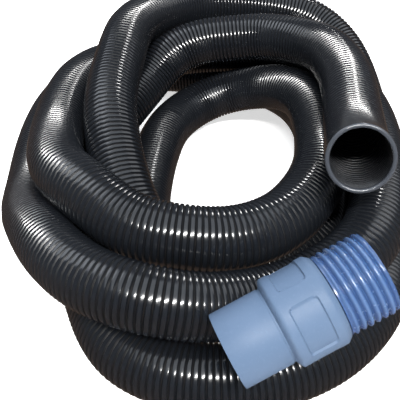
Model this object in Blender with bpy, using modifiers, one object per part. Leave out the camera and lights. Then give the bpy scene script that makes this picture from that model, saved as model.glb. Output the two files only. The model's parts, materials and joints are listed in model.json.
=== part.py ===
"""A ribbed vacuum hose lying in a loose pile, with its loose swivel cuff resting on the front of the pile.

Metres, +Z up. The pile stands on z = 0, and its middle is at x = 0, y = 0.
The parts are in the collection "vacuum_hose" and the cutting shapes in "cutters".
"""

import math

import bmesh
import bpy
import numpy as np
from mathutils import Matrix, Vector

MM = 0.001

# Hose: a spiral-wound tube. Its ribs are left to the finished model, so the wall here is plain.
HOSE_DIAMETER = 45 * MM
HOSE_WALL = 3.2 * MM
ROUTE_POINTS = 80  # how many points the hose's curve keeps
LOW = 22.5  # height of the hose's centre where it lies on the floor, in mm

# Cuff: heights run along its axis, from the open socket end (0) to the bush's end.
SOCKET_DEPTH = 28 * MM
SOCKET_RADIUS = 19.8 * MM
SLEEVE_RADIUS = 23 * MM
SLEEVE_TOP = 31 * MM
GRIP_TOP = 65.5 * MM
GRIP_RADIUS = 27.4 * MM
GRIP_CHAMFER = 3 * MM
PASSAGE_RADIUS = 16 * MM
CHAMBER_FLOOR = 35 * MM
CHAMBER_RADIUS = 22.4 * MM
PAD_COUNT = 4
PAD_LENGTH, PAD_HALF_ANGLE, PAD_DEPTH = 17 * MM, math.radians(33), 1.2 * MM
PAD_FIRST_ANGLE = math.radians(60)

# Bush, which turns in the cuff and takes the hose's end. The screw thread in its bore and the
# slope of its outer ridges are left to the finished model.
BUSH_END = 96 * MM
BUSH_BORE_RADIUS = 22.7 * MM
BUSH_BORE_FLOOR = 68.5 * MM
BUSH_TAIL_RADIUS = 19.8 * MM
FLANGE_RADIUS = 21.9 * MM
FLANGE_FLOOR, FLANGE_TOP = 38.3 * MM, 42 * MM
RIDGE_CREST_RADIUS, RIDGE_ROOT_RADIUS = 24.9 * MM, 24 * MM
RIDGE_PITCH, RIDGES = 4.5 * MM, 6
GAP = 0.4 * MM  # between pieces that touch on the real cuff

# Snap ring and seal inside the cuff.
RING_GROOVE_RADIUS = 23.2 * MM
RING_FLOOR, RING_TOP = 42.4 * MM, 45 * MM
RING_INNER_RADIUS, RING_OUTER_RADIUS = 20.3 * MM, 22.8 * MM
RING_SPLIT = 4 * MM
SEAL_RADIUS, SEAL_THICKNESS = 19.2 * MM, 2.5 * MM

# Where the cuff lies, in the route's frame: its socket end, its heading over the floor and its
# climb towards the bush.
CUFF_START = Vector((15.5 * MM, -238.4 * MM, 72.7 * MM))
CUFF_HEADING = math.radians(19)
CUFF_CLIMB = math.radians(21)

TURNED_STEPS = 48

# The middle of the pile's box in the route's frame, which goes to x = 0, y = 0.
PILE_MIDDLE = Vector((7.7 * MM, -12.2 * MM, 0))

# The hose's route in mm, from the open end in view to the end hidden under the pile.
ROUTE = [
    # open end, then the right side on top of the pile
    (101, -140, 137), (105, -117, 127), (111, -86, 119), (117, -44, 116), (122, 2, 116),
    (121, 41, 115), (112, 76, 113),
    # round the back on top
    (90, 104, 109), (60, 122, 105), (30, 127, 101), (-2, 127, 96), (-30, 117, 86), (-52, 95, 71),
    # down through the left side to the floor
    (-71, 66, 59), (-87, 38, 48), (-95, 2, 35), (-97, -45, LOW), (-93, -85, LOW), (-84, -126, LOW),
    (-71, -163, LOW),
    # across the front, nearest stretch
    (-50, -197, LOW), (-15, -216, LOW), (27, -219, LOW), (66, -209, LOW), (99, -187, LOW),
    # up the right side, outermost, then climbing
    (126, -153, LOW), (143, -105, LOW), (153, -50, LOW), (161, 0, LOW), (168, 50, 24),
    (171, 97, 31), (167, 140, 48), (152, 182, 70),
    # round the back, outermost
    (122, 207, 88), (75, 215, 98), (24, 208, 104), (-20, 190, 109), (-50, 155, 114),
    # over the top on the left and down inside
    (-67, 112, 116), (-72, 70, 112), (-75, 33, 105), (-75, -5, 97), (-70, -38, 85),
    (-61, -70, 70), (-47, -100, 54),
    # along the floor under the front and the right side
    (-20, -121, 35), (18, -125, 23), (58, -114, LOW), (90, -89, LOW), (106, -50, LOW),
    (113, -2, LOW), (117, 48, LOW), (115, 100, LOW), (98, 147, LOW),
    # along the floor at the back
    (60, 183, LOW), (12, 202, LOW), (-38, 211, LOW), (-85, 210, 27),
    # down the left side, outermost
    (-126, 184, 29), (-150, 136, 26), (-157, 82, 24), (-155, 30, 24), (-148, -22, 28),
    (-137, -73, 41),
    # over the nearest stretch and down behind it
    (-118, -117, 57), (-95, -155, 67), (-66, -182, 70), (-34, -195, 69), (-2, -196, 63),
    (28, -188, 57), (58, -178, 56), (86, -166, 61), (108, -149, 66),
    # up the right side, second layer
    (126, -121, 69), (136, -89, 71), (144, -53, 71), (149, -10, 71), (150, 40, 71),
    (140, 88, 71), (118, 130, 71),
    # round the back, second layer
    (80, 162, 70), (32, 172, 67), (-12, 171, 65), (-52, 157, 66), (-89, 133, 71),
    # down the left side, second layer
    (-114, 93, 75), (-122, 48, 76), (-122, 0, 76), (-117, -40, 80), (-104, -81, 87),
    (-79, -114, 90),
    # across the front, second layer
    (-47, -140, 84), (-11, -149, 80), (20, -147, 77), (52, -132, 76), (76, -103, 75),
    # beside the hole, then the inner turn down to the hidden end
    (93, -66, 74), (102, -21, 71), (104, 25, 71), (99, 62, 69), (84, 96, 62), (62, 121, 50),
    (30, 132, 38), (-3, 123, 28), (-27, 96, 23), (-40, 52, LOW), (-46, 5, LOW), (-48, -35, LOW),
    (-47, -66, LOW),
]


def clear_scene():
    for old in list(bpy.data.objects):
        bpy.data.objects.remove(old, do_unlink=True)


def new_collection(name):
    collection = bpy.data.collections.new(name)
    bpy.context.scene.collection.children.link(collection)
    return collection


def plain_material(name, colour, roughness, metallic=0.0):
    material = bpy.data.materials.new(name)
    material.use_nodes = True
    shader = material.node_tree.nodes["Principled BSDF"]
    shader.inputs["Base Color"].default_value = (*colour, 1.0)
    shader.inputs["Roughness"].default_value = roughness
    shader.inputs["Metallic"].default_value = metallic
    return material


def add_mesh(name, mesh_data, collection, material=None):
    """An object for a bmesh, which is freed."""
    mesh = bpy.data.meshes.new(name)
    mesh_data.to_mesh(mesh)
    mesh_data.free()
    piece = bpy.data.objects.new(name, mesh)
    collection.objects.link(piece)
    if material:
        mesh.materials.append(material)
    return piece


def turned(name, profile, collection, material=None, closed=True):
    """A body turned about Z from (radius, height) points that run down its outer side."""
    outline = bmesh.new()
    points = [outline.verts.new((radius, 0.0, height)) for radius, height in profile]
    for a, b in zip(points, points[1:]):
        outline.edges.new((a, b))
    if closed:
        outline.edges.new((points[-1], points[0]))
    piece = add_mesh(name, outline, collection, material)
    screw = piece.modifiers.new("Turn", "SCREW")
    screw.angle = 2 * math.pi
    screw.steps = screw.render_steps = TURNED_STEPS
    screw.use_merge_vertices = True
    screw.merge_threshold = 0.00001
    return piece


def add_boolean(piece, operation, cutter=None, cutters=None):
    modifier = piece.modifiers.new(operation.title(), "BOOLEAN")
    modifier.operation = operation
    modifier.solver = "EXACT"
    if cutters:
        modifier.operand_type = "COLLECTION"
        modifier.collection = cutters
    else:
        modifier.object = cutter


def hide_cutter(cutter):
    cutter.hide_render = True
    cutter.display_type = "WIRE"


def box(name, size, place, collection):
    cube = bmesh.new()
    bmesh.ops.create_cube(cube, size=1.0, matrix=Matrix.Diagonal((*size, 1.0)))
    piece = add_mesh(name, cube, collection)
    piece.matrix_world = place
    return piece


def curve_through(points, samples_each=24):
    """Close-set points on the natural cubic curve through a route's own points."""
    knots = np.array(points, float)
    spans = np.linalg.norm(np.diff(knots, axis=0), axis=1)
    count = len(knots)
    system, right_side = np.eye(count), np.zeros((count, 3))
    for i in range(1, count - 1):
        before, after = spans[i - 1], spans[i]
        system[i, i - 1 : i + 2] = before, 2 * (before + after), after
        right_side[i] = 6 * (
            (knots[i + 1] - knots[i]) / after - (knots[i] - knots[i - 1]) / before
        )
    bend = np.linalg.solve(system, right_side)
    line = []
    for i, span in enumerate(spans):
        for u in np.arange(samples_each) / samples_each:
            v = 1 - u
            curl = (v**3 - v) * bend[i] + (u**3 - u) * bend[i + 1]
            line.append(v * knots[i] + u * knots[i + 1] + span**2 / 6 * curl)
    line = np.array(line + [knots[-1]])
    line[:, 2] = np.maximum(line[:, 2], LOW)
    return line


def thin_out(line, count):
    """A few points of a line, closer together where it bends, so that each chord strays as little."""
    step = np.diff(line, axis=0)
    length = np.linalg.norm(step, axis=1)
    heading = step / length[:, None]
    turn = np.arccos(np.clip((heading[1:] * heading[:-1]).sum(axis=1), -1, 1))
    bending = np.concatenate([turn[:1], turn]) / length
    bending = np.convolve(np.pad(bending, 12, "edge"), np.ones(25) / 25, "valid")
    need = np.concatenate([[0], np.cumsum(np.sqrt(bending + 0.002) * length)])
    wanted = np.linspace(0, need[-1], count)
    return np.stack([np.interp(wanted, need, line[:, k]) for k in range(3)], axis=1)


def make_hose(collection):
    """One hollow tube, open at both ends, along the whole route."""
    curve = bpy.data.curves.new("hose", "CURVE")
    curve.dimensions = "3D"
    curve.twist_mode = "Z_UP"
    curve.bevel_depth = HOSE_DIAMETER / 2
    curve.bevel_resolution = 4
    curve.use_fill_caps = False
    spline = curve.splines.new("POLY")
    spline.points.add(ROUTE_POINTS - 1)
    for point, place in zip(spline.points, thin_out(curve_through(ROUTE), ROUTE_POINTS)):
        point.co = (*(Vector(place) * MM - PILE_MIDDLE), 1.0)
    curve.materials.append(plain_material("hose_black", (0.018, 0.019, 0.022), 0.3))
    hose = bpy.data.objects.new("hose", curve)
    collection.objects.link(hose)
    wall = hose.modifiers.new("Wall", "SOLIDIFY")
    wall.thickness = HOSE_WALL
    wall.offset = -1.0
    wall.use_rim = True
    return hose


def arc_block(name, inner, outer, floor, top, half_angle, collection):
    """A block bent round the Z axis, centred on +X."""
    steps = 8
    block = bmesh.new()
    sections = []
    for i in range(steps + 1):
        angle = half_angle * (2 * i / steps - 1)
        corners = [(inner, floor), (outer, floor), (outer, top), (inner, top)]
        sections.append(
            [block.verts.new((r * math.cos(angle), r * math.sin(angle), z)) for r, z in corners]
        )
    for a, b in zip(sections, sections[1:]):
        for k in range(4):
            block.faces.new((a[k], a[k - 1], b[k - 1], b[k]))
    block.faces.new(sections[0])
    block.faces.new(sections[-1][::-1])
    bmesh.ops.recalc_face_normals(block, faces=block.faces)
    return add_mesh(name, block, collection)


def make_cuff_body(collection, cutters):
    """The sleeve and the round grip, one moulding, bored right through in steps."""
    edge = 0.6 * MM
    profile = [
        (0, GRIP_TOP),
        (GRIP_RADIUS - GRIP_CHAMFER, GRIP_TOP),
        (GRIP_RADIUS - edge, GRIP_TOP - GRIP_CHAMFER),
        (GRIP_RADIUS, GRIP_TOP - GRIP_CHAMFER - edge),
        (GRIP_RADIUS, SLEEVE_TOP + GRIP_CHAMFER + edge),
        (GRIP_RADIUS - edge, SLEEVE_TOP + GRIP_CHAMFER),
        (SLEEVE_RADIUS, SLEEVE_TOP),
        (SLEEVE_RADIUS, edge),
        (SLEEVE_RADIUS - edge, 0),
        (0, 0),
    ]
    material = plain_material("cuff_grey_blue", (0.27, 0.38, 0.58), 0.45)
    body = turned("cuff_body", profile, collection, material, closed=False)

    beyond = 3 * MM
    bore_profile = [
        (0, GRIP_TOP + beyond),
        (CHAMBER_RADIUS, GRIP_TOP + beyond),
        (CHAMBER_RADIUS, RING_TOP + GAP),
        (RING_GROOVE_RADIUS, RING_TOP + GAP),
        (RING_GROOVE_RADIUS, RING_FLOOR - GAP),
        (CHAMBER_RADIUS, RING_FLOOR - GAP),
        (CHAMBER_RADIUS, CHAMBER_FLOOR),
        (PASSAGE_RADIUS, CHAMBER_FLOOR),
        (PASSAGE_RADIUS, SOCKET_DEPTH),
        (SOCKET_RADIUS, SOCKET_DEPTH),
        (SOCKET_RADIUS, -beyond),
        (0, -beyond),
    ]
    bore = turned("cuff_bore", bore_profile, cutters, closed=False)
    add_boolean(body, "DIFFERENCE", bore)

    pads = new_collection("grip_pads")
    bpy.context.scene.collection.children.unlink(pads)
    cutters.children.link(pads)
    middle = (SLEEVE_TOP + GRIP_TOP) / 2
    for i in range(PAD_COUNT):
        pad = arc_block(
            f"grip_pad_{i + 1}",
            GRIP_RADIUS - PAD_DEPTH,
            GRIP_RADIUS + PAD_DEPTH,
            middle - PAD_LENGTH / 2,
            middle + PAD_LENGTH / 2,
            PAD_HALF_ANGLE,
            pads,
        )
        pad.rotation_euler.z = PAD_FIRST_ANGLE + 2 * math.pi * i / PAD_COUNT
    add_boolean(body, "DIFFERENCE", cutters=pads)
    return body, [bore, *pads.objects]


def make_threaded_bush(collection):
    """The blue insert: a ridged cup outside the cuff, and a flanged tail that turns inside it."""
    chamfer = 1 * MM
    profile = [(RIDGE_ROOT_RADIUS, BUSH_END)]
    for i in range(RIDGES):
        top = BUSH_END - i * RIDGE_PITCH
        profile += [
            (RIDGE_CREST_RADIUS, top - 0.25 * RIDGE_PITCH),
            (RIDGE_CREST_RADIUS, top - 0.6 * RIDGE_PITCH),
            (RIDGE_ROOT_RADIUS, top - 0.85 * RIDGE_PITCH),
        ]
    profile += [
        (RIDGE_ROOT_RADIUS, GRIP_TOP + GAP),
        (BUSH_TAIL_RADIUS, GRIP_TOP + GAP),
        (BUSH_TAIL_RADIUS, FLANGE_TOP),
        (FLANGE_RADIUS, FLANGE_TOP),
        (FLANGE_RADIUS, FLANGE_FLOOR),
        (PASSAGE_RADIUS, FLANGE_FLOOR),
        (PASSAGE_RADIUS, BUSH_BORE_FLOOR),
        (BUSH_BORE_RADIUS - chamfer, BUSH_BORE_FLOOR),
        (BUSH_BORE_RADIUS, BUSH_BORE_FLOOR + chamfer),
        (BUSH_BORE_RADIUS, BUSH_END),
    ]
    material = plain_material("bush_clear_blue", (0.12, 0.22, 0.5), 0.2)
    return turned("threaded_bush", profile, collection, material)


def make_snap_ring(collection, cutters):
    """The split ring that keeps the bush's flange in the cuff."""
    profile = [
        (RING_OUTER_RADIUS, RING_TOP),
        (RING_OUTER_RADIUS, RING_FLOOR),
        (RING_INNER_RADIUS, RING_FLOOR),
        (RING_INNER_RADIUS, RING_TOP),
    ]
    material = plain_material("ring_white", (0.7, 0.7, 0.68), 0.4)
    ring = turned("snap_ring", profile, collection, material)
    middle = (RING_FLOOR + RING_TOP) / 2
    place = Matrix.Translation((RING_OUTER_RADIUS, 0, middle))
    split = box("ring_split", (10 * MM, RING_SPLIT, 6 * MM), place, cutters)
    add_boolean(ring, "DIFFERENCE", split)
    return ring, split


def make_seal_ring(collection):
    """The rubber ring between the cuff's inner step and the bush's flange."""
    bpy.ops.mesh.primitive_torus_add(
        major_radius=SEAL_RADIUS,
        minor_radius=SEAL_THICKNESS / 2,
        major_segments=TURNED_STEPS,
        minor_segments=10,
        location=(0, 0, (CHAMBER_FLOOR + FLANGE_FLOOR) / 2),
    )
    seal = bpy.context.object
    seal.name = seal.data.name = "seal_ring"
    for holder in list(seal.users_collection):
        holder.objects.unlink(seal)
    collection.objects.link(seal)
    seal.data.materials.append(plain_material("seal_black", (0.02, 0.02, 0.02), 0.6))
    return seal


def cuff_frame():
    """The cuff's own frame: its Z runs along the cuff's axis, from the socket end."""
    along = Vector(
        (
            math.cos(CUFF_HEADING) * math.cos(CUFF_CLIMB),
            math.sin(CUFF_HEADING) * math.cos(CUFF_CLIMB),
            math.sin(CUFF_CLIMB),
        )
    )
    turn = along.to_track_quat("Z", "Y").to_matrix().to_4x4()
    return Matrix.Translation(CUFF_START - PILE_MIDDLE) @ turn


def main():
    clear_scene()
    parts = new_collection("vacuum_hose")
    cutters = new_collection("cutters")

    make_hose(parts)

    body, body_cutters = make_cuff_body(parts, cutters)
    bush = make_threaded_bush(parts)
    ring, split = make_snap_ring(parts, cutters)
    seal = make_seal_ring(parts)

    cuff_axis = bpy.data.objects.new("cuff_axis", None)
    parts.objects.link(cuff_axis)
    cuff_axis.matrix_world = cuff_frame()
    for piece in (body, bush, ring, seal, split, *body_cutters):
        piece.parent = cuff_axis
    for cutter in (split, *body_cutters):
        hide_cutter(cutter)


main()
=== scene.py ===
"""The finished look of the vacuum hose: a ribbed black hose in a loose pile, and its swivel cuff.

Metres, +Z up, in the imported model's frame. The hose is one spiral-ribbed skin, hollow from end to
end, with a smooth rim round its open end. The cuff and its threaded bush are skins turned about the
cuff's own axis, which the swivel joint gives.
"""

import json
import math

import bpy
import numpy as np
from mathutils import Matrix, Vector


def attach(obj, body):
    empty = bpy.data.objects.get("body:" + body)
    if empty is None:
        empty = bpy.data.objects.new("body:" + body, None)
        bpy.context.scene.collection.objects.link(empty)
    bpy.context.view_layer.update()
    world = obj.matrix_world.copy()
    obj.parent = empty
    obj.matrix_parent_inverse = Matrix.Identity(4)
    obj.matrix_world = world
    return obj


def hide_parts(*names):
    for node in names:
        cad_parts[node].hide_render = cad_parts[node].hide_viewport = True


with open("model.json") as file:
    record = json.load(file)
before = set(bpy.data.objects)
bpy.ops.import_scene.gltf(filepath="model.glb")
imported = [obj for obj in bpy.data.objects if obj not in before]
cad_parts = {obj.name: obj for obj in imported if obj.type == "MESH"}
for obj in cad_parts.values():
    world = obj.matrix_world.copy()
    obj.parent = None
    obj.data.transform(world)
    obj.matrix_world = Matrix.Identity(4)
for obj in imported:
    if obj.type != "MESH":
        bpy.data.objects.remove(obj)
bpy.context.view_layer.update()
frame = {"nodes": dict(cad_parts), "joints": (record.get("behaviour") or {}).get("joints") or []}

MM = 0.001
WELD = 0.004 * MM  # points closer than this become one
SHARP_ANGLE = math.radians(35)
PLAIN_MARK = 0.5  # the rib mark of a surface without ribs: grooves have 0 and crests 1

# Hose
HOSE_DIAMETER = 45 * MM
HOSE_SIDES = 20  # columns in one turn of its skin
RIB_PITCH = 4 * MM
RIB_DEPTH = 1.5 * MM
RIB_FADE = 2.5 * MM  # how far from a cut end the ribs reach their full depth
BORE_RADIUS = 20.3 * MM
BORE_RIB_DEPTH = 0.75 * MM
RIBBED_BORE = 110 * MM  # how far the bore is ribbed behind the open end
RIBBED_BORE_HIDDEN = 20 * MM  # the same at the hidden end
PLAIN_BORE_RINGS = 120
LIP_DEPTH = 1.5 * MM  # how far from a cut end the ribs begin
LIP_MIDDLE, LIP_HALF = 21.2 * MM, 0.9 * MM  # the rounded ends of the wall
LIP_START = 0.4 * MM
RIM_SIDES = 72
RIM_MIDDLE, RIM_HALF = 20.95 * MM, 1.5 * MM  # its middle radius, and half its thickness
RIM_MARK = 1.4  # the rib mark of the rim, above every rib's
LINE_STEP = 1 * MM
SAMPLES_EACH = 24  # samples of the curve between two of the route's points
LOW = 22.5  # height of the hose's centre where it lies on the floor, in mm

# The middle of the pile's box in the route's frame, in mm.
PILE_MIDDLE = (7.7, -12.2, 0)

# The hose's route in mm, from the open end in view to the end hidden under the pile.
ROUTE = [
    # open end, then the right side on top of the pile
    (101, -140, 137), (105, -117, 127), (111, -86, 119), (117, -44, 116), (122, 2, 116),
    (121, 41, 115), (112, 76, 113),
    # round the back on top
    (90, 104, 109), (60, 122, 105), (30, 127, 101), (-2, 127, 96), (-30, 117, 86), (-52, 95, 71),
    # down through the left side to the floor
    (-71, 66, 59), (-87, 38, 48), (-95, 2, 35), (-97, -45, LOW), (-93, -85, LOW), (-84, -126, LOW),
    (-71, -163, LOW),
    # across the front, nearest stretch
    (-50, -197, LOW), (-15, -216, LOW), (27, -219, LOW), (66, -209, LOW), (99, -187, LOW),
    # up the right side, outermost, then climbing
    (126, -153, LOW), (143, -105, LOW), (153, -50, LOW), (161, 0, LOW), (168, 50, 24),
    (171, 97, 31), (167, 140, 48), (152, 182, 70),
    # round the back, outermost
    (122, 207, 88), (75, 215, 98), (24, 208, 104), (-20, 190, 109), (-50, 155, 114),
    # over the top on the left and down inside
    (-67, 112, 116), (-72, 70, 112), (-75, 33, 105), (-75, -5, 97), (-70, -38, 85),
    (-61, -70, 70), (-47, -100, 54),
    # along the floor under the front and the right side
    (-20, -121, 35), (18, -125, 23), (58, -114, LOW), (90, -89, LOW), (106, -50, LOW),
    (113, -2, LOW), (117, 48, LOW), (115, 100, LOW), (98, 147, LOW),
    # along the floor at the back
    (60, 183, LOW), (12, 202, LOW), (-38, 211, LOW), (-85, 210, 27),
    # down the left side, outermost
    (-126, 184, 29), (-150, 136, 26), (-157, 82, 24), (-155, 30, 24), (-148, -22, 28),
    (-137, -73, 41),
    # over the nearest stretch and down behind it
    (-118, -117, 57), (-95, -155, 67), (-66, -182, 70), (-34, -195, 69), (-2, -196, 63),
    (28, -188, 57), (58, -178, 56), (86, -166, 61), (108, -149, 66),
    # up the right side, second layer
    (126, -121, 69), (136, -89, 71), (144, -53, 71), (149, -10, 71), (150, 40, 71),
    (140, 88, 71), (118, 130, 71),
    # round the back, second layer
    (80, 162, 70), (32, 172, 67), (-12, 171, 65), (-52, 157, 66), (-89, 133, 71),
    # down the left side, second layer
    (-114, 93, 75), (-122, 48, 76), (-122, 0, 76), (-117, -40, 80), (-104, -81, 87),
    (-79, -114, 90),
    # across the front, second layer
    (-47, -140, 84), (-11, -149, 80), (20, -147, 77), (52, -132, 76), (76, -103, 75),
    # beside the hole, then the inner turn down to the hidden end
    (93, -66, 74), (102, -21, 71), (104, 25, 71), (99, 62, 69), (84, 96, 62), (62, 121, 50),
    (30, 132, 38), (-3, 123, 28), (-27, 96, 23), (-40, 52, LOW), (-46, 5, LOW), (-48, -35, LOW),
    (-47, -66, LOW),
]

# Cuff: heights run along its axis, from the open socket end (0) to the bush's end.
CUFF_COLUMNS = 200
CUFF_LENGTH = 96 * MM
SOCKET_RADIUS, SOCKET_DEPTH = 19.8 * MM, 28 * MM
SLEEVE_RADIUS, SLEEVE_TOP = 23 * MM, 31 * MM
GRIP_RADIUS, GRIP_TOP = 27.4 * MM, 65.5 * MM
GRIP_CHAMFER = 3 * MM
SOCKET_FLARE = 0.9 * MM
PASSAGE_RADIUS = 16 * MM
CHAMBER_FLOOR, CHAMBER_RADIUS = 35 * MM, 22.4 * MM
RING_GROOVE_RADIUS = 23.2 * MM
RING_GROOVE_FLOOR, RING_GROOVE_TOP = 42 * MM, 45.4 * MM
PAD_COUNT = 4
PAD_LENGTH, PAD_HALF_ANGLE = 17 * MM, math.radians(33)
PAD_DEPTH, PAD_CORNER, PAD_EDGE = 1.2 * MM, 2.5 * MM, 0.8 * MM
PAD_BAND, PAD_RINGS = 24 * MM, 61  # the height of the band that holds the pads, and its rings
PAD_FIRST_ANGLE = math.radians(-30)  # from the level direction across the cuff, turning downwards

# Bush
BUSH_COLUMNS = 96
BUSH_TAIL_RADIUS, FLANGE_RADIUS = 19.8 * MM, 21.9 * MM
FLANGE_FLOOR, FLANGE_TOP = 38.3 * MM, 42 * MM
RIDGE_PITCH, RIDGE_FADE = 4.5 * MM, 2.5 * MM
RIDGE_MIDDLE, RIDGE_DEPTH = 24.2 * MM, 1.8 * MM
BORE_THREAD_MIDDLE, BORE_THREAD_DEPTH = 22.7 * MM, 1.2 * MM
BUSH_BORE_FLOOR = 68.5 * MM
BUSH_GAP = 0.4 * MM  # between the grip's end and the bush's shoulder

# Studio
CAMERA_ELEVATION = math.radians(38)
CAMERA_DISTANCE = 0.578
CAMERA_AIM = Vector((-0.0077, 0.0058, 0))  # the point on the floor in the middle of the picture
CAMERA_LENS, CAMERA_SENSOR = 55.8, 36  # both in mm
FLOOR_REACH = 4.0
WALL_RADIUS, WALL_HEIGHT, WALL_CURL = 3.9, 4.0, 0.8  # the curl is the radius of its curved foot
WALL_COLUMNS, WALL_CURL_RINGS = 96, 12
WALL_LIFT = 2 * MM
LAMP_AIM = Vector((0, 0, 0.05))


# ---------------------------------------------------------------- the hose's line


def curve_through(points):
    """Close-set points on the natural cubic curve through a route's points, none below LOW."""
    knots = np.array(points, float)
    spans = np.linalg.norm(np.diff(knots, axis=0), axis=1)
    count = len(knots)
    system, right_side = np.eye(count), np.zeros((count, 3))
    for i in range(1, count - 1):
        before, after = spans[i - 1], spans[i]
        system[i, i - 1 : i + 2] = before, 2 * (before + after), after
        right_side[i] = 6 * (
            (knots[i + 1] - knots[i]) / after - (knots[i] - knots[i - 1]) / before
        )
    bend = np.linalg.solve(system, right_side)
    line = []
    for i, span in enumerate(spans):
        for u in np.arange(SAMPLES_EACH) / SAMPLES_EACH:
            v = 1 - u
            curl = (v**3 - v) * bend[i] + (u**3 - u) * bend[i + 1]
            line.append(v * knots[i] + u * knots[i + 1] + span**2 / 6 * curl)
    line = np.array(line + [knots[-1]])
    line[:, 2] = np.maximum(line[:, 2], LOW)
    return line


class Line:
    """A path with its length and, at every point, two directions across it that don't twist: at
    its start, side is level and drop points downwards."""

    def __init__(self, points):
        points = np.array(points, float)
        length = np.linalg.norm(np.diff(points, axis=0), axis=1)
        run = np.concatenate([[0], np.cumsum(length)])
        self.length = run[-1]
        self.run = np.linspace(0, self.length, int(self.length / LINE_STEP) + 2)
        self.points = np.stack([np.interp(self.run, run, points[:, k]) for k in range(3)], axis=1)
        heading = np.gradient(self.points, axis=0)
        heading /= np.linalg.norm(heading, axis=1)[:, None]
        side = np.cross(heading[0], (0, 0, 1))
        sides = []
        for direction in heading:
            side = side - direction * side.dot(direction)
            side /= np.linalg.norm(side)
            sides.append(side)
        self.side = np.array(sides)
        self.drop = np.cross(heading, self.side)

    def place(self, run, angle, radius):
        """Points at this run along the line, this angle round it and this distance from it."""
        centre, side, drop = (
            np.stack([np.interp(run, self.run, values[:, k]) for k in range(3)], axis=-1)
            for values in (self.points, self.side, self.drop)
        )
        across = side * np.cos(angle)[..., None] + drop * np.sin(angle)[..., None]
        return centre + across * radius[..., None]


# ---------------------------------------------------------------- skins


def add_object(name, data):
    thing = bpy.data.objects.new(name, data)
    bpy.context.scene.collection.objects.link(thing)
    return thing


class Skin:
    """A closed surface round a line, gathered from bands of faces that share their edges. Every
    point has a rib mark, from 0 in a groove to 1 on a crest, which the materials read."""

    def __init__(self, line, sides):
        self.line, self.sides = line, sides
        self.points, self.marks, self.faces = [], [], []
        self.count = 0

    def add(self, run, angle, radius, mark, faces):
        self.points.append(self.line.place(run, angle, radius).reshape(-1, 3))
        self.marks.append(np.broadcast_to(mark, run.shape).reshape(-1))
        self.faces.append(faces + self.count)
        self.count += run.size

    def rings(self, rows, mark=PLAIN_MARK):
        """Plain rings, each given as (run, radius). The radius may be a value for each column."""
        run = np.repeat(np.array([row[0] for row in rows], float)[:, None], self.sides, axis=1)
        radius = np.array([np.broadcast_to(row[1], self.sides) for row in rows], float)
        angle = np.broadcast_to(2 * np.pi * np.arange(self.sides) / self.sides, run.shape)
        here = np.arange(run.size).reshape(run.shape)
        beside = np.roll(here, -1, axis=1)
        faces = np.stack([here[:-1], beside[:-1], beside[1:], here[1:]], axis=-1).reshape(-1, 4)
        self.add(run, angle, radius, mark, faces)

    def spiral(self, start, stop, pitch, rib, middle, depth, fade):
        """A ribbed band whose ribs wind round the line. rib holds the places across one rib and the
        heights there, all from 0 to 1. The ribs are depth high, and within fade of either end they
        die away to the middle radius."""
        part, height = rib
        turns = math.ceil((stop - start) / pitch) + 2
        step = np.arange(-self.sides, (turns - 1) * self.sides)
        run = start + (step[:, None] / self.sides + part) * pitch
        run = np.clip(run, start, stop)
        angle = np.broadcast_to(2 * np.pi * step[:, None] / self.sides, run.shape)
        grown = smooth_step(np.minimum(run - start, stop - run) / fade)
        lift = grown * (height - 0.5)
        # each row of points crosses one rib, so its last point's neighbour is a whole turn ahead
        here = np.arange(run.size).reshape(run.shape)
        ahead = np.concatenate([here[:, 1:], np.roll(here[:, :1], -self.sides, axis=0)], axis=1)
        keep = len(step) - self.sides - 1
        faces = np.stack(
            [here[:keep], here[1 : keep + 1], ahead[1 : keep + 1], ahead[:keep]], axis=-1
        ).reshape(-1, 4)
        self.add(run, angle, middle + depth * lift, PLAIN_MARK + lift, faces)

    def build(self, name):
        points = np.concatenate(self.points)
        marks = np.concatenate(self.marks)
        faces = np.concatenate(self.faces)
        grid = np.round(points / WELD).astype(np.int64)
        _, first, same = np.unique(grid, axis=0, return_index=True, return_inverse=True)
        faces = same.reshape(-1)[faces]
        rows = []
        for face in faces.tolist():
            corners = [v for k, v in enumerate(face) if v != face[k - 1]]
            if len(set(corners)) == len(corners) > 2:
                rows.append(corners)
        mesh = bpy.data.meshes.new(name)
        mesh.from_pydata(points[first].tolist(), [], rows)
        mesh.validate()
        mark = mesh.attributes.new("rib", "FLOAT", "POINT")
        mark.data.foreach_set("value", marks[first].astype(np.float32))
        mesh.shade_smooth()
        mesh.set_sharp_from_angle(angle=SHARP_ANGLE)
        return add_object(name, mesh)


def smooth_step(value):
    value = np.clip(value, 0, 1)
    return value * value * (3 - 2 * value)


def crowned_rib():
    """A slightly crowned crest between V-shaped grooves about as wide as itself."""
    return np.array([0.0, 0.24, 0.5, 0.76]), np.array([0.0, 0.9, 1.0, 0.9])


def ledge_rib():
    """In a bore, a steep ledge that faces the start of the line, behind a long slope."""
    return np.array([0.0, 0.25, 0.52, 0.78, 0.93]), np.array([0.06, 0.35, 0.7, 1.0, 0.0])


def round_rib(samples):
    """A soft wave whose crest is broader than its groove, by the power below 1."""
    place = np.arange(samples) / samples
    return place, (0.5 - 0.5 * np.cos(2 * np.pi * place)) ** 0.7


def rounded_end(start, middle, half, count):
    """Rows on a half circle that goes from the outside of a wall round its end to its bore."""
    return [
        (start + half * (1 - math.sin(turn)), middle + half * math.cos(turn))
        for turn in np.linspace(0, math.pi, count)
    ]


# ---------------------------------------------------------------- materials


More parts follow.
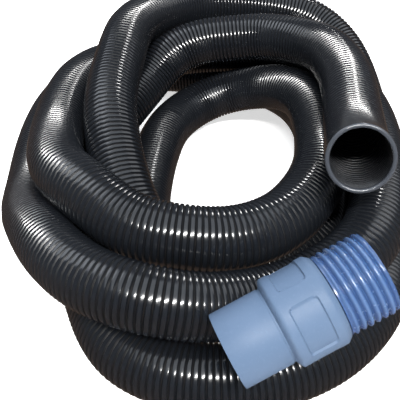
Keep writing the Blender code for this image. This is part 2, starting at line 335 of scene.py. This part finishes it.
class Finish:
    """A Principled material and the nodes that feed it."""

    def __init__(self, name, **constants):
        self.material = bpy.data.materials.new(name)
        self.material.use_nodes = True
        self.nodes = self.material.node_tree.nodes
        self.links = self.material.node_tree.links
        self.shader = self.nodes["Principled BSDF"]
        for socket, value in constants.items():
            self.shader.inputs[socket.replace("_", " ")].default_value = value
        self.place = self.nodes.new("ShaderNodeTexCoord").outputs["Object"]

    def noise(self, scale, detail=3.0, roughness=0.5):
        """A noise of this many cells per metre."""
        texture = self.nodes.new("ShaderNodeTexNoise")
        texture.inputs["Scale"].default_value = scale
        texture.inputs["Detail"].default_value = detail
        texture.inputs["Roughness"].default_value = roughness
        self.links.new(self.place, texture.inputs["Vector"])
        return texture.outputs["Fac"]

    def attribute(self, name):
        node = self.nodes.new("ShaderNodeAttribute")
        node.attribute_name = name
        return node.outputs["Fac"]

    def spread(self, value, low, high, to_low=0.0, to_high=1.0):
        """The value with low to high spread over to_low to to_high, and held within them."""
        node = self.nodes.new("ShaderNodeMapRange")
        for socket, number in (
            ("From Min", low),
            ("From Max", high),
            ("To Min", to_low),
            ("To Max", to_high),
        ):
            node.inputs[socket].default_value = number
        self.links.new(value, node.inputs["Value"])
        return node.outputs["Result"]

    def combine(self, operation, a, b):
        node = self.nodes.new("ShaderNodeMath")
        node.operation = operation
        self.links.new(a, node.inputs[0])
        self.links.new(b, node.inputs[1])
        return node.outputs["Value"]

    def mix_colours(self, factor, a, b):
        """A colour between a and b. Its sockets go by number, as each kind of data has an A and B."""
        node = self.nodes.new("ShaderNodeMix")
        node.data_type = "RGBA"
        self.links.new(factor, node.inputs[0])
        for socket, value in ((node.inputs[6], a), (node.inputs[7], b)):
            if isinstance(value, tuple):
                socket.default_value = (*value, 1.0)
            else:
                self.links.new(value, socket)
        return node.outputs[2]

    def bump(self, height, distance, strength):
        node = self.nodes.new("ShaderNodeBump")
        node.inputs["Distance"].default_value = distance
        node.inputs["Strength"].default_value = strength
        self.links.new(height, node.inputs["Height"])
        self.links.new(node.outputs["Normal"], self.shader.inputs["Normal"])

    def feed(self, socket, value):
        self.links.new(value, self.shader.inputs[socket])


def hose_finish():
    """Near-black plastic with glossy crests that carry a painted sheen, duller grooves with dust in
    them, and a paler rim.
    """
    finish = Finish("hose_black", IOR=1.5)
    rib = finish.attribute("rib")
    cloud = finish.noise(9, 3)
    grime = finish.noise(120, 5, 0.65)
    plastic = finish.mix_colours(
        finish.spread(cloud, 0.35, 0.7), (0.003, 0.0035, 0.0045), (0.006, 0.007, 0.009)
    )
    dust = finish.combine("MULTIPLY", finish.spread(rib, 0.3, 0.0), finish.spread(grime, 0.42, 0.7))
    dusty = finish.mix_colours(dust, plastic, (0.016, 0.013, 0.011))
    patchy = finish.spread(grime, 0.2, 0.6, 0.7, 1.0)
    # painted sheen: the crests get a paler grey, patchy, so the grooves read darker between them
    crest = finish.combine("MULTIPLY", finish.spread(rib, 0.6, 1.0), patchy)
    crest_sheen = finish.mix_colours(crest, dusty, (0.0065, 0.0076, 0.0098))
    # the rim gets a paler grey colour than the ribbed hose
    paler_rim = finish.spread(rib, 1.0, RIM_MARK)
    finish.feed("Base Color", finish.mix_colours(paler_rim, crest_sheen, (0.036, 0.040, 0.048)))
    polish = finish.spread(rib, 0.2, 0.9, 0.42, 0.17)
    wear = finish.spread(finish.noise(260, 4, 0.7), 0.4, 0.75, -0.02, 0.07)
    finish.feed("Roughness", finish.combine("ADD", polish, wear))
    finish.bump(finish.noise(900, 3), 0.02 * MM, 0.5)
    return finish.material


def cuff_finish():
    """Satin grey-blue plastic with fine pale specks."""
    finish = Finish("cuff_grey_blue", IOR=1.46, Specular_IOR_Level=0.25)
    cloud = finish.noise(22, 3)
    speck = finish.noise(700, 4, 0.6)
    plastic = finish.mix_colours(
        finish.spread(cloud, 0.3, 0.7), (0.063, 0.099, 0.161), (0.074, 0.112, 0.179)
    )
    finish.feed("Base Color", finish.mix_colours(
        finish.spread(speck, 0.55, 0.8, 0.0, 0.35), plastic, (0.115, 0.160, 0.235)
    ))
    finish.feed("Roughness", finish.spread(speck, 0.3, 0.7, 0.46, 0.60))
    finish.bump(finish.combine("ADD", speck, finish.noise(60, 2)), 0.05 * MM, 0.6)
    return finish.material


def bush_finish():
    """Glossy blue plastic that lets a little light in, with a painted sheen that makes its ridges
    paler.
    """
    finish = Finish(
        "bush_clear_blue",
        IOR=1.5,
        Subsurface_Weight=0.35,
        Subsurface_Radius=(0.4, 0.6, 1.0),
        Subsurface_Scale=3 * MM,
    )
    rib = finish.attribute("rib")
    cloud = finish.noise(40, 3)
    core = finish.mix_colours(
        finish.spread(cloud, 0.3, 0.7), (0.024, 0.051, 0.127), (0.032, 0.062, 0.149)
    )
    # painted sheen: the ridges' crests get a paler blue than the grooves
    finish.feed("Base Color", finish.mix_colours(
        finish.spread(rib, 0.35, 1.0), core, (0.061, 0.107, 0.211)
    ))
    finish.feed("Roughness", finish.spread(finish.noise(300, 4), 0.35, 0.7, 0.14, 0.30))
    finish.bump(finish.noise(500, 3), 0.04 * MM, 0.5)
    return finish.material


def ring_finish():
    finish = Finish("ring_white", IOR=1.46)
    speck = finish.noise(500, 4)
    finish.feed("Base Color", finish.mix_colours(
        finish.spread(speck, 0.35, 0.7), (0.66, 0.66, 0.63), (0.76, 0.76, 0.74)
    ))
    finish.feed("Roughness", finish.spread(speck, 0.3, 0.7, 0.34, 0.50))
    finish.bump(speck, 0.03 * MM, 0.5)
    return finish.material


def seal_finish():
    finish = Finish("seal_black", IOR=1.5)
    speck = finish.noise(800, 5, 0.6)
    finish.feed("Base Color", finish.mix_colours(
        finish.spread(speck, 0.35, 0.7), (0.012, 0.012, 0.013), (0.030, 0.029, 0.028)
    ))
    finish.feed("Roughness", finish.spread(speck, 0.3, 0.7, 0.50, 0.72))
    finish.bump(speck, 0.05 * MM, 0.6)
    return finish.material


def floor_finish():
    finish = Finish(
        "floor_pale",
        Roughness=0.7,
        Specular_IOR_Level=0.2,
        Emission_Color=(1.0, 1.0, 1.0, 1.0),
        Emission_Strength=0.65,
    )
    finish.feed("Base Color", finish.mix_colours(
        finish.spread(finish.noise(6, 3), 0.3, 0.7), (0.90, 0.90, 0.90), (0.93, 0.93, 0.93)
    ))
    return finish.material


def backdrop_finish():
    finish = Finish(
        "backdrop_pale",
        Roughness=1.0,
        Specular_IOR_Level=0.0,
        Base_Color=(0, 0, 0, 1),
        Emission_Color=(0.93, 0.94, 0.95, 1.0),
        Emission_Strength=0.9,
    )
    return finish.material


def dress(piece, material):
    piece.data.materials.clear()
    piece.data.materials.append(material)


# ---------------------------------------------------------------- camera, floor and light


def make_camera():
    camera = add_object("camera", bpy.data.cameras.new("camera"))
    camera.data.lens = CAMERA_LENS
    camera.data.sensor_width = CAMERA_SENSOR
    back = Vector((0, -math.cos(CAMERA_ELEVATION), math.sin(CAMERA_ELEVATION)))
    camera.location = CAMERA_AIM + back * CAMERA_DISTANCE
    camera.rotation_euler = (math.pi / 2 - CAMERA_ELEVATION, 0, 0)
    camera.data.clip_start = 0.01
    bpy.context.scene.camera = camera


def make_floor():
    mesh = bpy.data.meshes.new("floor")
    corners = [
        (x * FLOOR_REACH, y * FLOOR_REACH, 0) for x, y in ((-1, -1), (1, -1), (1, 1), (-1, 1))
    ]
    mesh.from_pydata(corners, [], [(0, 1, 2, 3)])
    floor = add_object("floor", mesh)
    dress(floor, floor_finish())
    floor.visible_glossy = False


def make_backdrop():
    """A round wall far from the object, seen by the camera only, that curves up from the floor."""
    profile = [
        (WALL_RADIUS - WALL_CURL * (1 - math.sin(turn)), WALL_CURL * (1 - math.cos(turn)))
        for turn in np.linspace(0, math.pi / 2, WALL_CURL_RINGS)
    ]
    profile.append((WALL_RADIUS, WALL_HEIGHT))
    directions = [
        (math.cos(angle), math.sin(angle))
        for angle in np.linspace(0, 2 * math.pi, WALL_COLUMNS, endpoint=False)
    ]
    points = [
        (radius * x, radius * y, height + WALL_LIFT)
        for radius, height in profile
        for x, y in directions
    ]
    faces = []
    for below in range(0, WALL_COLUMNS * (len(profile) - 1), WALL_COLUMNS):
        above = below + WALL_COLUMNS
        for k in range(WALL_COLUMNS):
            beside = (k + 1) % WALL_COLUMNS
            faces.append((below + k, below + beside, above + beside, above + k))
    mesh = bpy.data.meshes.new("backdrop")
    mesh.from_pydata(points, [], faces)
    mesh.shade_smooth()
    backdrop = add_object("backdrop", mesh)
    dress(backdrop, backdrop_finish())
    backdrop.visible_diffuse = backdrop.visible_glossy = False
    backdrop.visible_transmission = backdrop.visible_shadow = False


def add_lamp(name, place, size, watts, colour):
    data = bpy.data.lights.new(name, "AREA")
    data.shape = "RECTANGLE"
    data.size, data.size_y = size
    data.energy = watts
    data.color = colour
    lamp = add_object(name, data)
    lamp.location = place
    lamp.rotation_euler = (LAMP_AIM - Vector(place)).to_track_quat("-Z", "Y").to_euler()


def make_world():
    """A cool sky over a warm ground, which only shows in reflections."""
    ground, sky, strength = (1.15, 0.80, 0.60, 1.0), (0.80, 0.87, 1.0, 1.0), 0.15
    horizon = 0.1  # how far above and below the level the two mix
    world = bpy.data.worlds.new("studio")
    world.use_nodes = True
    nodes, links = world.node_tree.nodes, world.node_tree.links
    split = nodes.new("ShaderNodeSeparateXYZ")
    links.new(nodes.new("ShaderNodeTexCoord").outputs["Generated"], split.inputs["Vector"])
    height = nodes.new("ShaderNodeMapRange")
    height.inputs["From Min"].default_value = -horizon
    height.inputs["From Max"].default_value = horizon
    links.new(split.outputs["Z"], height.inputs["Value"])
    blend = nodes.new("ShaderNodeMix")
    blend.data_type = "RGBA"
    links.new(height.outputs["Result"], blend.inputs[0])
    blend.inputs[6].default_value = ground
    blend.inputs[7].default_value = sky
    links.new(blend.outputs[2], nodes["Background"].inputs["Color"])
    nodes["Background"].inputs["Strength"].default_value = strength
    bpy.context.scene.world = world


def make_light():
    add_lamp("lamp_front", (0.15, -1.30, 1.60), (1.2, 0.13), 86, (1.0, 0.99, 0.97))
    add_lamp("soft_left", (-1.5, 1.1, 2.2), (1.8, 1.8), 32, (0.86, 0.92, 1.0))
    add_lamp("lamp_back", (0.55, 1.5, 1.25), (0.16, 0.5), 9, (1.0, 0.99, 0.98))
    add_lamp("soft_top", (0, -0.3, 2.6), (3.2, 3.2), 54, (0.88, 0.94, 1.0))
    add_lamp("soft_right", (1.6, 0.9, 1.6), (1.4, 1.4), 12, (0.95, 0.97, 1.0))
    bpy.context.scene.view_settings.view_transform = "Standard"


# ---------------------------------------------------------------- pieces


def make_hose():
    line = Line((curve_through(ROUTE) - np.array(PILE_MIDDLE)) * MM)
    skin = Skin(line, HOSE_SIDES)
    middle = HOSE_DIAMETER / 2 - RIB_DEPTH / 2
    whole = line.length
    plain_start, plain_end = RIBBED_BORE, whole - RIBBED_BORE_HIDDEN
    ribs_start, ribs_end = LIP_DEPTH, whole - LIP_DEPTH

    skin.spiral(ribs_start, ribs_end, RIB_PITCH, crowned_rib(), middle, RIB_DEPTH, RIB_FADE)
    for start, stop in ((ribs_start, plain_start), (plain_end, ribs_end)):
        skin.spiral(start, stop, RIB_PITCH, ledge_rib(), BORE_RADIUS, BORE_RIB_DEPTH, RIB_FADE)
    plain = np.linspace(plain_start, plain_end, PLAIN_BORE_RINGS)
    skin.rings([(run, BORE_RADIUS) for run in plain])
    lip = [(LIP_DEPTH, middle), *rounded_end(LIP_START, LIP_MIDDLE, LIP_HALF, 9)]
    lip.append((LIP_DEPTH, BORE_RADIUS))
    skin.rings(lip)
    skin.rings([(whole - run, radius) for run, radius in lip])

    hose = skin.build("hose_skin")
    dress(hose, hose_finish())
    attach(hose, "hose_pile")
    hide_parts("hose")
    make_rim(line)


def make_rim(line):
    """The smooth, rounded rim moulded round the open end."""
    crest = RIM_MIDDLE + RIM_HALF
    outside = [(3.8 * MM, crest - 0.95 * MM), (3.2 * MM, crest - 0.15 * MM), (2.6 * MM, crest)]
    inside = [(3.4 * MM, RIM_MIDDLE - RIM_HALF), (4.2 * MM, RIM_MIDDLE - RIM_HALF / 2)]
    end = rounded_end(0, RIM_MIDDLE, RIM_HALF, 13)
    skin = Skin(line, RIM_SIDES)
    skin.rings(outside + end + inside + outside[:1], RIM_MARK)
    rim = skin.build("hose_rim")
    dress(rim, hose_finish())
    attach(rim, "hose_pile")
    return rim


def cuff_line():
    """The cuff's axis as a line, from the socket end to the bush's end."""
    joint = next(j for j in frame["joints"] if j["name"] == "bush_swivel")
    start = Vector(joint["pos_m"])
    return Line([start, start + Vector(joint["axis"]).normalized() * CUFF_LENGTH])


def pad_sink(angle, along):
    """How deep the grip is sunk by its recessed pads, along being measured from the pads' middle."""
    pitch = 2 * math.pi / PAD_COUNT
    turn = (angle - PAD_FIRST_ANGLE + pitch / 2) % pitch - pitch / 2
    reach = np.stack(
        [
            GRIP_RADIUS * (np.abs(turn) - PAD_HALF_ANGLE) + PAD_CORNER,
            np.broadcast_to(abs(along) - PAD_LENGTH / 2 + PAD_CORNER, turn.shape),
        ]
    )
    outside = np.hypot(*np.maximum(reach, 0)) + np.minimum(reach.max(axis=0), 0) - PAD_CORNER
    return PAD_DEPTH * smooth_step(0.5 - outside / PAD_EDGE)


def make_cuff():
    skin = Skin(cuff_line(), CUFF_COLUMNS)
    angle = 2 * np.pi * np.arange(CUFF_COLUMNS) / CUFF_COLUMNS
    middle = (SLEEVE_TOP + GRIP_TOP) / 2
    edge, soft = 0.5 * MM, 0.15 * MM  # how far a rounded edge reaches, and what it takes off
    shoulder = 0.35 * MM  # what the rounding takes off where the chamfers meet the grip

    sleeve = [
        (0.0, SOCKET_RADIUS + SOCKET_FLARE),
        (0.0, SLEEVE_RADIUS - edge),
        (soft, SLEEVE_RADIUS - soft),
        (edge, SLEEVE_RADIUS),
        (SLEEVE_TOP - 0.9 * MM, SLEEVE_RADIUS),
        (SLEEVE_TOP - 0.5 * MM, SLEEVE_RADIUS - soft),
        (SLEEVE_TOP - 0.3 * MM, SLEEVE_RADIUS - edge),
        (SLEEVE_TOP + 0.6 * MM, SLEEVE_RADIUS - edge),
        (SLEEVE_TOP + 0.8 * MM, SLEEVE_RADIUS - soft),
    ]
    grip = [
        (SLEEVE_TOP + 1.0 * MM, SLEEVE_RADIUS + 0.4 * MM),
        (SLEEVE_TOP + GRIP_CHAMFER - 0.7 * MM, GRIP_RADIUS - 1.1 * MM),
        (SLEEVE_TOP + GRIP_CHAMFER, GRIP_RADIUS - shoulder),
        (SLEEVE_TOP + GRIP_CHAMFER + 0.6 * MM, GRIP_RADIUS),
    ]
    for along in np.linspace(-PAD_BAND / 2, PAD_BAND / 2, PAD_RINGS):
        grip.append((middle + along, GRIP_RADIUS - pad_sink(angle, along)))
    grip += [
        (GRIP_TOP - GRIP_CHAMFER - 0.6 * MM, GRIP_RADIUS),
        (GRIP_TOP - GRIP_CHAMFER, GRIP_RADIUS - shoulder),
        (GRIP_TOP - edge, GRIP_RADIUS - 2.2 * MM),
        (GRIP_TOP - soft, GRIP_RADIUS - 2.7 * MM),
        (GRIP_TOP, GRIP_RADIUS - 3.1 * MM),
    ]
    inside = [
        (GRIP_TOP, CHAMBER_RADIUS + 0.3 * MM),
        (GRIP_TOP - 0.3 * MM, CHAMBER_RADIUS),
        (RING_GROOVE_TOP, CHAMBER_RADIUS),
        (RING_GROOVE_TOP, RING_GROOVE_RADIUS),
        (RING_GROOVE_FLOOR, RING_GROOVE_RADIUS),
        (RING_GROOVE_FLOOR, CHAMBER_RADIUS),
        (CHAMBER_FLOOR, CHAMBER_RADIUS),
        (CHAMBER_FLOOR, PASSAGE_RADIUS),
        (SOCKET_DEPTH, PASSAGE_RADIUS),
        (SOCKET_DEPTH, SOCKET_RADIUS - 0.4 * MM),
        (SOCKET_DEPTH - 0.4 * MM, SOCKET_RADIUS),
        (SOCKET_FLARE, SOCKET_RADIUS),
        (0.25 * MM, SOCKET_RADIUS + 0.35 * MM),
        sleeve[0],
    ]
    skin.rings(sleeve + grip + inside)
    cuff = skin.build("cuff_moulding")
    dress(cuff, cuff_finish())
    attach(cuff, "cuff")
    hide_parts("cuff_body")


def make_bush():
    skin = Skin(cuff_line(), BUSH_COLUMNS)
    rim = GRIP_TOP + BUSH_GAP
    edge = 0.3 * MM
    ridges_start, ridges_end = rim + 0.8 * MM, CUFF_LENGTH - 0.5 * MM
    bore_start, bore_end = BUSH_BORE_FLOOR + 1 * MM, CUFF_LENGTH - 0.6 * MM
    ridge, thread = round_rib(12), round_rib(8)
    skin.spiral(
        ridges_start, ridges_end, RIDGE_PITCH, ridge, RIDGE_MIDDLE, RIDGE_DEPTH, RIDGE_FADE
    )
    skin.spiral(
        bore_start, bore_end, RIDGE_PITCH, thread, BORE_THREAD_MIDDLE, BORE_THREAD_DEPTH, RIDGE_FADE
    )
    skin.rings(
        [
            (ridges_start, RIDGE_MIDDLE),
            (rim + edge, RIDGE_MIDDLE),
            (rim, RIDGE_MIDDLE - edge),
            (rim, BUSH_TAIL_RADIUS),
            (FLANGE_TOP, BUSH_TAIL_RADIUS),
            (FLANGE_TOP, FLANGE_RADIUS - edge),
            (FLANGE_TOP - edge, FLANGE_RADIUS),
            (FLANGE_FLOOR + edge, FLANGE_RADIUS),
            (FLANGE_FLOOR, FLANGE_RADIUS - edge),
            (FLANGE_FLOOR, PASSAGE_RADIUS),
            (BUSH_BORE_FLOOR - 0.5 * MM, PASSAGE_RADIUS),
            (BUSH_BORE_FLOOR, PASSAGE_RADIUS + 0.5 * MM),
            (BUSH_BORE_FLOOR, BORE_THREAD_MIDDLE - 0.5 * MM),
            (bore_start, BORE_THREAD_MIDDLE),
        ]
    )
    skin.rings(
        [
            (bore_end, BORE_THREAD_MIDDLE),
            (CUFF_LENGTH, BORE_THREAD_MIDDLE + 0.4 * MM),
            (CUFF_LENGTH, RIDGE_MIDDLE - edge),
            (ridges_end, RIDGE_MIDDLE),
        ]
    )
    bush = skin.build("bush_moulding")
    dress(bush, bush_finish())
    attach(bush, "bush")
    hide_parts("threaded_bush")


make_camera()
make_hose()
make_cuff()
make_bush()
dress(frame["nodes"]["snap_ring"], ring_finish())
dress(frame["nodes"]["seal_ring"], seal_finish())
make_floor()
make_backdrop()
make_world()
make_light()
